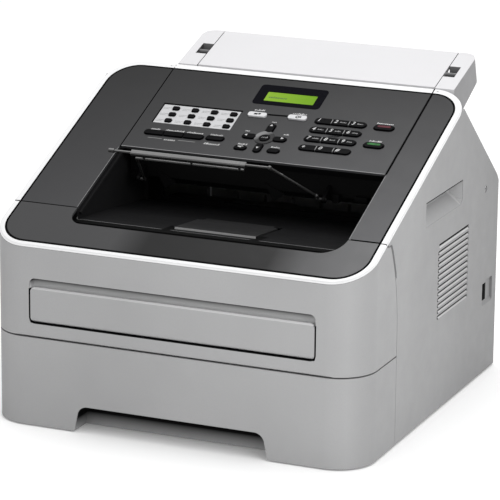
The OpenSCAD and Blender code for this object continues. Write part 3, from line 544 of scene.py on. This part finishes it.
# radius of the rounded edges of each node, in millimetres; 0 leaves them as they are
EDGE = {
    "paper_tray": 0.7,
    "front_cover": 0.6,
    "manual_feed_cover": 0.6,
    "side_cover_right": 0.0,
    "side_cover_left": 0.0,
    "rear_cover": 0.5,
    "rear_door": 0.5,
    "top_cover": 0.35,
    "front_strip": 0.35,
    "control_panel": 0.12,
    "top_rim": 0.35,
    "front_rim": 0.35,
    "panel_rim": 0.35,
    "document_tray": 0.9,
    "document_flap": 0.5,
    "output_flap": 0.3,
    "scanner_unit": 0.3,
    "document_bail": 0.2,
    "lcd_module": 0.2,
}
KEY_EDGE = 0.45

subparts = {part["node"]: part["material_slot"] for part in frame["record"]["subparts"]}
for node, obj in NODES.items():
    obj.data.materials.clear()
    obj.data.materials.append(SLOT_MATERIALS[subparts[node]])
    is_key = node.endswith(("_key", "_keys")) or node.startswith("dial_key")
    round_edges(obj, EDGE.get(node, KEY_EDGE if is_key else 0.25) * MM, 3 if is_key else 2)


for node, material in (("output_flap", FLAP), ("document_bail", BAIL), ("manual_feed_cover", GREY_PLATE)):
    NODES[node].data.materials[0] = material


# ---------------------------------------------------------------- details of the control panel
# Outlines are in millimetres in the sloped top's own plane.


def shape(name, loops, low, high, material, body, place=TOP):
    """A thin piece with the given outlines, from height low to high above the plane, riding a body."""
    curve = bpy.data.curves.new(name, "CURVE")
    curve.dimensions = "2D"
    curve.fill_mode = "BOTH"
    curve.extrude = (high - low) / 2 * MM
    for loop in loops:
        spline = curve.splines.new("POLY")
        spline.points.add(len(loop) - 1)
        for point, (x, y) in zip(spline.points, loop):
            point.co = (x * MM, y * MM, 0.0, 1.0)
        spline.use_cyclic_u = True
    return solid(name, curve, (high + low) / 2, material, body, place)


def solid(name, curve, height, material, body, place=TOP):
    """Turns a filled curve into a mesh piece that rides a body."""
    source = bpy.data.objects.new(name + "_source", curve)
    SCENE.collection.objects.link(source)
    graph = bpy.context.evaluated_depsgraph_get()
    mesh = bpy.data.meshes.new_from_object(source.evaluated_get(graph))
    bpy.data.objects.remove(source)
    mesh.name = name
    mesh.transform(place @ Matrix.Translation((0, 0, height * MM)))
    if place.determinant() < 0:
        # a mirrored piece would be inside out
        mesh.flip_normals()
    mesh.materials.clear()
    mesh.materials.append(material)
    piece = bpy.data.objects.new(name, mesh)
    SCENE.collection.objects.link(piece)
    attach(piece, body)
    return piece


def box_loop(x0, y0, x1, y1, slant=0.0):
    """An upright box, or one that leans to the right."""
    lean = (y1 - y0) * slant
    return [(x0, y0), (x1, y0), (x1 + lean, y1), (x0 + lean, y1)]


def round_loop(cx, cy, w, h, r, steps=6):
    """A box round a centre with rounded corners."""
    points = []
    for i, (sx, sy) in enumerate(((1, 1), (-1, 1), (-1, -1), (1, -1))):
        for k in range(steps + 1):
            a = math.radians(90 * i + 90 * k / steps)
            points.append((cx + sx * (w / 2 - r) + r * math.cos(a), cy + sy * (h / 2 - r) + r * math.sin(a)))
    return points


def circle_loop(cx, cy, r, steps=40):
    turns = [math.tau * k / steps for k in range(steps)]
    return [(cx + r * math.cos(a), cy + r * math.sin(a)) for a in turns]


def lettering(x0, x1, y, h, seed):
    """A row of small slanted blocks that stands for a label, with nothing to read."""
    chance = random.Random(seed)
    loops = []
    x = x0
    while x < x1 - 0.3 * h:
        w = h * chance.uniform(0.3, 0.62)
        tall = h * chance.choice((0.6, 0.6, 0.9))
        low = y - h / 2
        if chance.random() < 0.4:
            mid = low + tall * chance.uniform(0.4, 0.6)
            loops.append(box_loop(x, low, x + w, mid - 0.1 * h, 0.2))
            loops.append(box_loop(x + 0.3 * w, mid, x + w, low + tall, 0.2))
        else:
            loops.append(box_loop(x, low, x + w, low + tall, 0.2))
        x += w + h * 0.22
    return loops


def digit(name, text, x, y, size, material, body, height):
    """One printed sign, centred on x and y."""
    curve = bpy.data.curves.new(name, "FONT")
    curve.body = text
    curve.size = size * MM
    curve.shear = 0.25
    curve.extrude = 0.03 * MM
    curve.offset = 0.1 * MM
    curve.align_x = "CENTER"
    curve.align_y = "CENTER"
    curve.resolution_u = 6
    at = TOP @ Matrix.Translation((x * MM, y * MM, 0))
    return solid(name, curve, height, material, body, at)


KEY_TOP = 1.4
# height of flat print, and how far a strip of painted shade or highlight stands proud of its panel
PRINT = 0.05
PROUD = 0.03
DIAL_X = 77.6
DIAL_PITCH = 17.1
DIAL_ROWS = (166.4, 152.2, 138.0, 123.8)
DIAL_NAMES = (("1", "2", "3"), ("4", "5", "6"), ("7", "8", "9"), ("star", "0", "hash"))
DIAL_SIGNS = {"star": "*", "hash": "#"}


def add_dial_marks():
    """Digits and small letters on the dial keys, and the fine lines between the keys of a row."""
    for row, names in zip(DIAL_ROWS, DIAL_NAMES):
        for column, key in enumerate(names):
            centre = DIAL_X + (column - 1) * DIAL_PITCH
            body = "dial_key_" + key
            sign = DIAL_SIGNS.get(key, key)
            drop = 1.2 if key == "star" else 0.0
            digit("digit_" + key, sign, centre - 4.6, row + 0.5 - drop, 6.2, WHITE_INK, body, KEY_TOP + PROUD)
            if key not in ("1", "star", "0", "hash"):
                loops = lettering(centre - 0.4, centre + 5.4, row + 0.4, 1.9, 10 + int(key))
                shape("letters_" + key, loops, KEY_TOP, KEY_TOP + PRINT, GREY_INK, body)
        loops = []
        for side in (-0.5, 0.5):
            x = DIAL_X + side * DIAL_PITCH
            loops.append(box_loop(x - 0.3, row - 2.7, x + 0.3, row + 3.0))
        shape("dial_lines_%d" % row, loops, -0.5, KEY_TOP + 0.1, GREY_INK, "control_panel")


# middles of the one-touch keys
TOUCH_X = (-88.8, -68.9, -49.0, -29.1)
TOUCH_T = (162.8, 153.0, 143.1)


def add_touch_sheet():
    """The silver sheet round the one-touch keys, its faint marks and the dark joint behind it."""
    holes = [round_loop(x, t, 7.6, 6.0, 1.9) for x in TOUCH_X for t in TOUCH_T]
    sheet = [box_loop(-102.9, 138.8, -23.7, 168.3)] + holes
    shape("touch_sheet", sheet, -0.4, 0.08, SHEET, "control_panel")
    marks = []
    for i, x in enumerate(TOUCH_X):
        for j, t in enumerate(TOUCH_T):
            marks += lettering(x - 13.0, x - 4.9, t + 0.9, 1.1, 100 + 10 * i + j)
            marks += lettering(x - 13.0, x - 6.5, t - 1.0, 1.1, 200 + 10 * i + j)
    shape("touch_marks", marks, 0.08, 0.1, FAINT_INK, "control_panel")
    border = [(-104.2, 139.0), (-102.9, 139.0), (-102.9, 168.3)]
    border += [(-22.6, 168.3), (-22.6, 170.4), (-104.2, 170.4)]
    shape("touch_border", [border], 0.0, 0.3, GAP_AND_SHADE, "control_panel")


# left end, right end, middle height and letter height of each printed label
LABELS = (
    (-100.2, -90.7, 128.9, 2.4), (-85.1, -66.4, 129.1, 2.4), (-63.2, -45.8, 129.1, 2.4),
    (-39.2, -26.5, 129.3, 2.4), (-80.9, -69.5, 114.5, 2.9), (-40.2, -24.6, 115.0, 2.9),
    (-12.2, -1.9, 174.5, 2.6), (26.5, 41.5, 174.8, 2.6), (11.8, 17.0, 158.2, 2.0),
    (-8.4, -4.0, 141.0, 2.2), (30.4, 36.0, 141.1, 2.2), (-7.5, 1.7, 120.0, 2.3),
    (25.6, 34.7, 120.3, 2.3), (111.5, 128.5, 173.2, 2.4), (114.0, 126.5, 145.2, 2.4),
)


def add_labels():
    """Printed labels over the keys, fine lines beside two of them, and the line between the mode keys."""
    loops = []
    for seed, (x0, x1, t, h) in enumerate(LABELS):
        loops += lettering(x0, x1, t, h, seed)
    shape("labels", loops, 0.0, PRINT, WHITE_INK, "control_panel")
    lines = [box_loop(-98.0, 114.5, -83.4, 115.0), box_loop(-66.8, 114.7, -49.4, 115.2)]
    lines += [box_loop(x - 0.25, 119.9, x + 0.25, 126.6) for x in (-85.3, -65.3)]
    shape("thin_lines", lines, 0.0, 0.06, GREY_INK, "control_panel")
    link_line = [[(3.3, 167.6), (24.4, 168.3), (24.4, 170.4), (3.3, 169.7)]]
    shape("mode_line", link_line, 0.0, 0.12, GAP_AND_SHADE, "control_panel")


# middle, width and height of each recess that a black key stands in
KEY_PLACES = (
    *((DIAL_X, row, 3 * DIAL_PITCH - 1, 7.6) for row in DIAL_ROWS),
    (-74.2, 122.6, 59.9, 6.4), (-32.4, 123.4, 17.6, 6.4),
    (120.8, 166.0, 19.0, 7.6), (120.6, 138.0, 19.0, 7.6),
    (14.6, 147.6, 6.8, 13.0), (14.2, 115.9, 6.8, 13.0),
    (-1.2, 132.4, 13.0, 6.8), (29.4, 132.0, 13.0, 6.8),
    (-2.9, 113.6, 11.5, 6.0), (30.2, 114.0, 11.5, 6.0),
)


def add_key_marks():
    """Marks on single keys, the ring round OK, painted shadows round the black keys and the two coloured
    caps.
    """
    top = KEY_TOP
    arrows = {
        "arrow_up_key": [(12.8, 150.0), (15.8, 150.0), (14.4, 152.6)],
        "arrow_down_key": [(12.2, 116.4), (15.2, 116.4), (13.6, 113.8)],
        "arrow_left_key": [(-3.4, 134.6), (-3.4, 131.4), (-6.0, 133.0)],
        "arrow_right_key": [(30.8, 134.6), (30.8, 131.4), (33.6, 133.0)],
    }
    for key, loop in arrows.items():
        shape(key + "_mark", [loop], top, top + PRINT, WHITE_INK, key)
    word = lettering(11.6, 17.4, 132.0, 2.4, 7)
    shape("ok_mark", word, top, top + PRINT, GREY_INK, "ok_key")
    clear = [box_loop(-5.4, 113.9, -1.6, 115.0), [(-1.8, 112.6), (0.4, 114.4), (-1.8, 116.4)]]
    shape("clear_mark", clear, top, top + PRINT, WHITE_INK, "clear_key")
    fax = [box_loop(-9.8, 165.2, -6.4, 167.4, 0.2), box_loop(-5.8, 165.8, -3.4, 168.0, 0.2)]
    shape("fax_mark", fax, top, top + PRINT, BLACK_INK, "fax_mode_key")
    copy = [circle_loop(33.8, 167.9, 2.0), circle_loop(33.8, 167.9, 1.1), box_loop(36.0, 167.2, 37.4, 169.4)]
    shape("copy_mark", copy, top, top + PRINT, BLACK_INK, "copy_mode_key")
    ring = [circle_loop(14.2, 132.6, 9.8, 64), circle_loop(14.5, 131.6, 5.6, 48)]
    piece = shape("ok_ring", ring, 0.0, 0.7, RING, "control_panel")
    round_edges(piece, 0.3 * MM, 3)
    # painted shadows: black rims round the recesses of the black keys
    rims = [round_loop(x, t, w + 1.9, h + 1.9, min(w, h) / 2 + 0.9) for x, t, w, h in KEY_PLACES]
    rims += [round_loop(x, t, w + 0.4, h + 0.4, min(w, h) / 2) for x, t, w, h in KEY_PLACES]
    shape("key_shadows", rims, 0.0, 0.06, GAP_AND_SHADE, "control_panel")
    caps = (("stop_key", 120.8, 166.0, RED_CAP, "red_key"),
            ("start_key", 120.6, 138.0, GREEN_CAP, "green_key"))
    for key, x, t, material, slot in caps:
        outline = round_loop(x, t + 0.9, 13.0, 2.9, 1.4)
        cap = shape(key + "_cap", [outline], top - 0.1, top + 0.12, material, key)
        round_edges(cap, 0.08 * MM, 2)


def add_display():
    """The green field of the display and a row of small blocks on it."""
    field = [round_loop(15.3, 197.3, 50.4, 14.4, 1.0)]
    shape("lcd_field", field, -0.35, -0.05, LCD_GREEN, "control_panel")
    row = lettering(-6.6, 12.6, 196.6, 3.0, 41)
    shape("lcd_row", row, -0.05, -0.02, LCD_INK, "control_panel")


# ---------------------------------------------------------------- painted shade in seams and gaps, and painted highlights on edges

# where the front cover ends and the fixed top begins, and the sides of the panel and of its surround
FRONT_CUT = -124.5
REAR_CUT = -123.3
PANEL_X = (-118.2, 146.1)
SURROUND_X = (-119.0, 147.2)


def surround_path(gap):
    """The right half of the outline between the dark surround and the white trim, from front to back."""
    half, front, back = 177.0 - gap, -174.6 + gap * (1.5 if gap > 0 else 1.0), 84.2 - gap
    front_r, back_r = 28.0 - gap, 27.0 - gap
    path = [(0.0, front)]
    path += [(half - front_r + front_r * math.sin(a), front + front_r - front_r * math.cos(a))
             for a in (math.radians(7.5 * i) for i in range(13))]
    path += [(half, FRONT_CUT), (half, REAR_CUT)]
    path += [(half - back_r + back_r * math.cos(a), back - back_r + back_r * math.sin(a))
             for a in (math.radians(7.5 * i) for i in range(13))]
    return path


def groove_part(start, stop, side, ends=()):
    """A closed outline of part of the groove, laid in the sloped plane."""
    lines = []
    for gap in (-1.1, 0.85):
        line = surround_path(gap)[start:stop]
        line += [(end, line[-1][1]) for end in ends]
        lines.append([(side * x, (y - CREASE.y / MM) / math.cos(TOP_SLOPE)) for x, y in line])
    return lines[0] + lines[1][::-1]


# planes of the right and left sides: x is the machine's y, y its z, and height its distance from the middle
RIGHT = Matrix(((0, 0, 1, 0), (1, 0, 0, 0), (0, 1, 0, 0), (0, 0, 0, 1)))
LEFT = Matrix.Scale(-1, 4, (1, 0, 0)) @ RIGHT
FLAT = Matrix.Identity(4)
# plane of the front: x as it is, y the machine's z, and height its distance in front of the middle
FRONT = Matrix(((1, 0, 0, 0), (0, 0, -1, 0), (0, 1, 0, 0), (0, 0, 0, 1)))


def add_gaps():
    """Painted shade as black strips in the joints and grooves of the sloped top, and painted highlights along
    the edges of its openings.
    """
    low, high = -1.2, PROUD
    for side, tag, seam in ((1, "right", PANEL_X[1]), (-1, "left", -PANEL_X[0])):
        # painted shade: black strips in the groove between the dark surround and the white trim, wider than
        # the groove
        shape("groove_shade_front_" + tag, [groove_part(0, 15, side)], low, high, GAP_AND_SHADE, "front_cover")
        shape("groove_shade_side_" + tag, [groove_part(15, 29, side, (seam + 0.6,))], low, high, GAP_AND_SHADE, "body")
        shape("groove_shade_back_" + tag, [groove_part(28, 29, side, (0.0,))], low, high, GAP_AND_SHADE, "control_panel")
    t0 = (FRONT_CUT - CREASE.y / MM) / math.cos(TOP_SLOPE)
    t1 = (REAR_CUT - 0.5 - CREASE.y / MM) / math.cos(TOP_SLOPE)
    # painted shade: black strips filling the seam where the front cover meets the fixed top
    seams = [box_loop(-183.0, t0 + 0.15, SURROUND_X[0] - 2.0, t1 + 0.4),
             box_loop(SURROUND_X[1] + 2.0, t0 + 0.15, 178.0, t1 + 1.1),
             box_loop(178.0, t0 + 0.15, 183.0, t1 + 0.2)]
    shape("crease_gap_shade", seams, -1.9, PROUD, GAP_AND_SHADE, "body")
    # painted shade in the seam across the trim beside the panel and in the gaps beside the panel
    shape("rim_seam_shade", [box_loop(PANEL_X[1] + 0.25, 225.6, SURROUND_X[1], 235.0)], low, high, GAP_AND_SHADE, "body")
    sides = [box_loop(PANEL_X[1] + 0.2, 97.6, SURROUND_X[1] + 1.1, 225.6),
             box_loop(SURROUND_X[0] - 0.4, 97.6, PANEL_X[0] - 0.15, 225.6)]
    shape("panel_gap_shade", sides, -1.5, PROUD, GAP_AND_SHADE, "body")
    # painted highlights along the front edge of the panel, the inner edges of the surround and the ridges at
    # the front of the well
    edges = [box_loop(PANEL_X[0] + 0.3, 97.75, PANEL_X[1] - 0.3, 98.5)]
    shape("panel_edge_highlight", edges, 0.0, PROUD, PAINTED_EDGE_HIGHLIGHT, "control_panel")
    edges = [box_loop(SURROUND_X[0] - 0.75, 0.8, SURROUND_X[0] - 0.3, 95.0),
             box_loop(SURROUND_X[1] + 0.3, 0.8, SURROUND_X[1] + 0.75, 95.0)]
    shape("well_edge_highlights", edges, 0.0, PROUD, PAINTED_EDGE_HIGHLIGHT, "body")
    ridge_highlight_strips = [box_loop(-110.0, -125.3, -36.0, -124.7), box_loop(64.0, -125.3, 136.0, -124.7)]
    shape("well_ridge_highlights", ridge_highlight_strips, 185.2, 185.35, PAINTED_EDGE_HIGHLIGHT, "front_cover", FLAT)


def add_front_details():
    """Painted shade: a U-shaped black strip in and beside the gap round the manual feed cover."""
    ring = []
    # its outer and its inner edge: width, lowest height and corner radius
    for w, low, r in ((281.1, 98.3, 5.8), (278.3, 99.45, 4.6)):
        half = w / 2
        arc = [math.radians(15 * k) for k in range(7)]
        line = [(-half, 131.0)]
        line += [(-half + r - r * math.cos(a), low + r - r * math.sin(a)) for a in arc]
        line += [(half - r + r * math.sin(a), low + r - r * math.cos(a)) for a in arc]
        line.append((half, 131.0))
        ring += line if not ring else line[::-1]
    # painted shade of the gap, reaching a little onto the front
    shape("feed_gap_shade", [ring], 177.0, 180.03, GAP_AND_SHADE, "front_cover", FRONT)


def add_side_details():
    """Painted shade behind the louvres and the port, a painted shadow line along the top of each hand grip,
    and a screw on the right with painted shade in its recess and its cross slot.
    """
    vents = [box_loop(9.0, 89.6, 93.5, 163.4)]
    port = [box_loop(136.5, 72.5, 149.0, 91.0)]
    grip_shadow = [box_loop(-26.3, 209.5, 72.0, 210.3)]
    cross = [box_loop(137.4, 185.6, 140.6, 186.4), box_loop(138.6, 184.4, 139.4, 187.6)]
    # painted shade: black plates behind the slots, and a black shadow line above each grip
    for tag, place in (("right", RIGHT), ("left", LEFT)):
        shape("vent_shade_" + tag, vents, 180.3, 180.7, GAP_AND_SHADE, "body", place)
        shape("grip_shadow_line_" + tag, grip_shadow, 183.6, 184.03, GAP_AND_SHADE, "body", place)
    shape("port_shade", port, 180.3, 180.7, GAP_AND_SHADE, "body", RIGHT)
    # painted shade round the screw head; its cross slot is painted black too
    shape("side_screw_rim", [circle_loop(139.0, 186.0, 3.5)], 182.4, 183.1, GAP_AND_SHADE, "body", RIGHT)
    head = shape("side_screw", [circle_loop(139.0, 186.0, 2.9)], 182.5, 183.4, STEEL, "body", RIGHT)
    round_edges(head, 0.3 * MM, 2)
    shape("side_screw_cross", cross, 183.4, 183.43, GAP_AND_SHADE, "body", RIGHT)


add_gaps()
add_front_details()
add_side_details()
add_dial_marks()
add_touch_sheet()
add_labels()
add_key_marks()
add_display()


# ---------------------------------------------------------------- stage


def add_camera():
    """Three quarter view from the right, slightly above."""
    forward = Vector((-0.38367, 0.88737, -0.25568)).normalized()
    roll = math.radians(0.48)
    across = forward.cross(Vector((0, 0, 1))).normalized()
    above = across.cross(forward)
    right = math.cos(roll) * across + math.sin(roll) * above
    up = math.cos(roll) * above - math.sin(roll) * across
    data = bpy.data.cameras.new("camera")
    data.lens = 214.8
    data.sensor_width = 36.0
    data.shift_x = 0.0039
    data.shift_y = -0.0508
    data.clip_start = 0.05
    data.clip_end = 50.0
    data.dof.use_dof = False
    cam = bpy.data.objects.new("camera", data)
    cam.matrix_world = Matrix.Translation((1.07097, -2.48304, 0.87855)) @ Matrix(
        (right, up, -forward)
    ).transposed().to_4x4()
    SCENE.collection.objects.link(cam)
    SCENE.camera = cam


def add_area(name, place, target, size, power, spread=180):
    data = bpy.data.lights.new(name, "AREA")
    data.shape = "RECTANGLE"
    data.size, data.size_y = size
    data.energy = power
    data.spread = math.radians(spread)
    lamp = bpy.data.objects.new(name, data)
    lamp.location = place
    lamp.rotation_euler = (Vector(target) - Vector(place)).to_track_quat("-Z", "Y").to_euler()
    SCENE.collection.objects.link(lamp)


def add_stage():
    world = bpy.data.worlds.new("studio")
    world.use_nodes = True
    back = world.node_tree.nodes["Background"]
    back.inputs["Color"].default_value = (1.0, 1.0, 1.0, 1.0)
    back.inputs["Strength"].default_value = 0.82
    SCENE.world = world
    mesh = bpy.data.meshes.new("floor")
    mesh.from_pydata([(-6, -6, 0), (6, -6, 0), (6, 6, 0), (-6, 6, 0)], [], [(0, 1, 2, 3)])
    floor = bpy.data.objects.new("floor", mesh)
    SCENE.collection.objects.link(floor)
    t = Tree("pale_floor")
    t.set("Base Color", t.mix(t.noise(3.0), (0.93, 0.93, 0.93), (0.95, 0.95, 0.95)))
    t.set("Roughness", 0.7)
    t.set("Emission Color", (1.0, 1.0, 1.0))
    t.set("Emission Strength", 0.1)
    mesh.materials.append(t.material)
    add_area("key", (1.9, -1.5, 2.0), (0, 0, 0.15), (1.6, 1.6), 26)
    add_area("top", (0.0, 0.2, 2.4), (0, 0, 0.2), (2.2, 2.2), 22)
    add_area("glow", (-0.05, 0.2, 0.95), (0.12, -0.14, 0.2), (0.3, 0.3), 0.25, 90)


add_camera()
add_stage()
SCENE.view_settings.view_transform = "Standard"
SCENE.view_settings.look = "None"
SCENE.view_settings.exposure = 0.0
SCENE.view_settings.gamma = 1.0
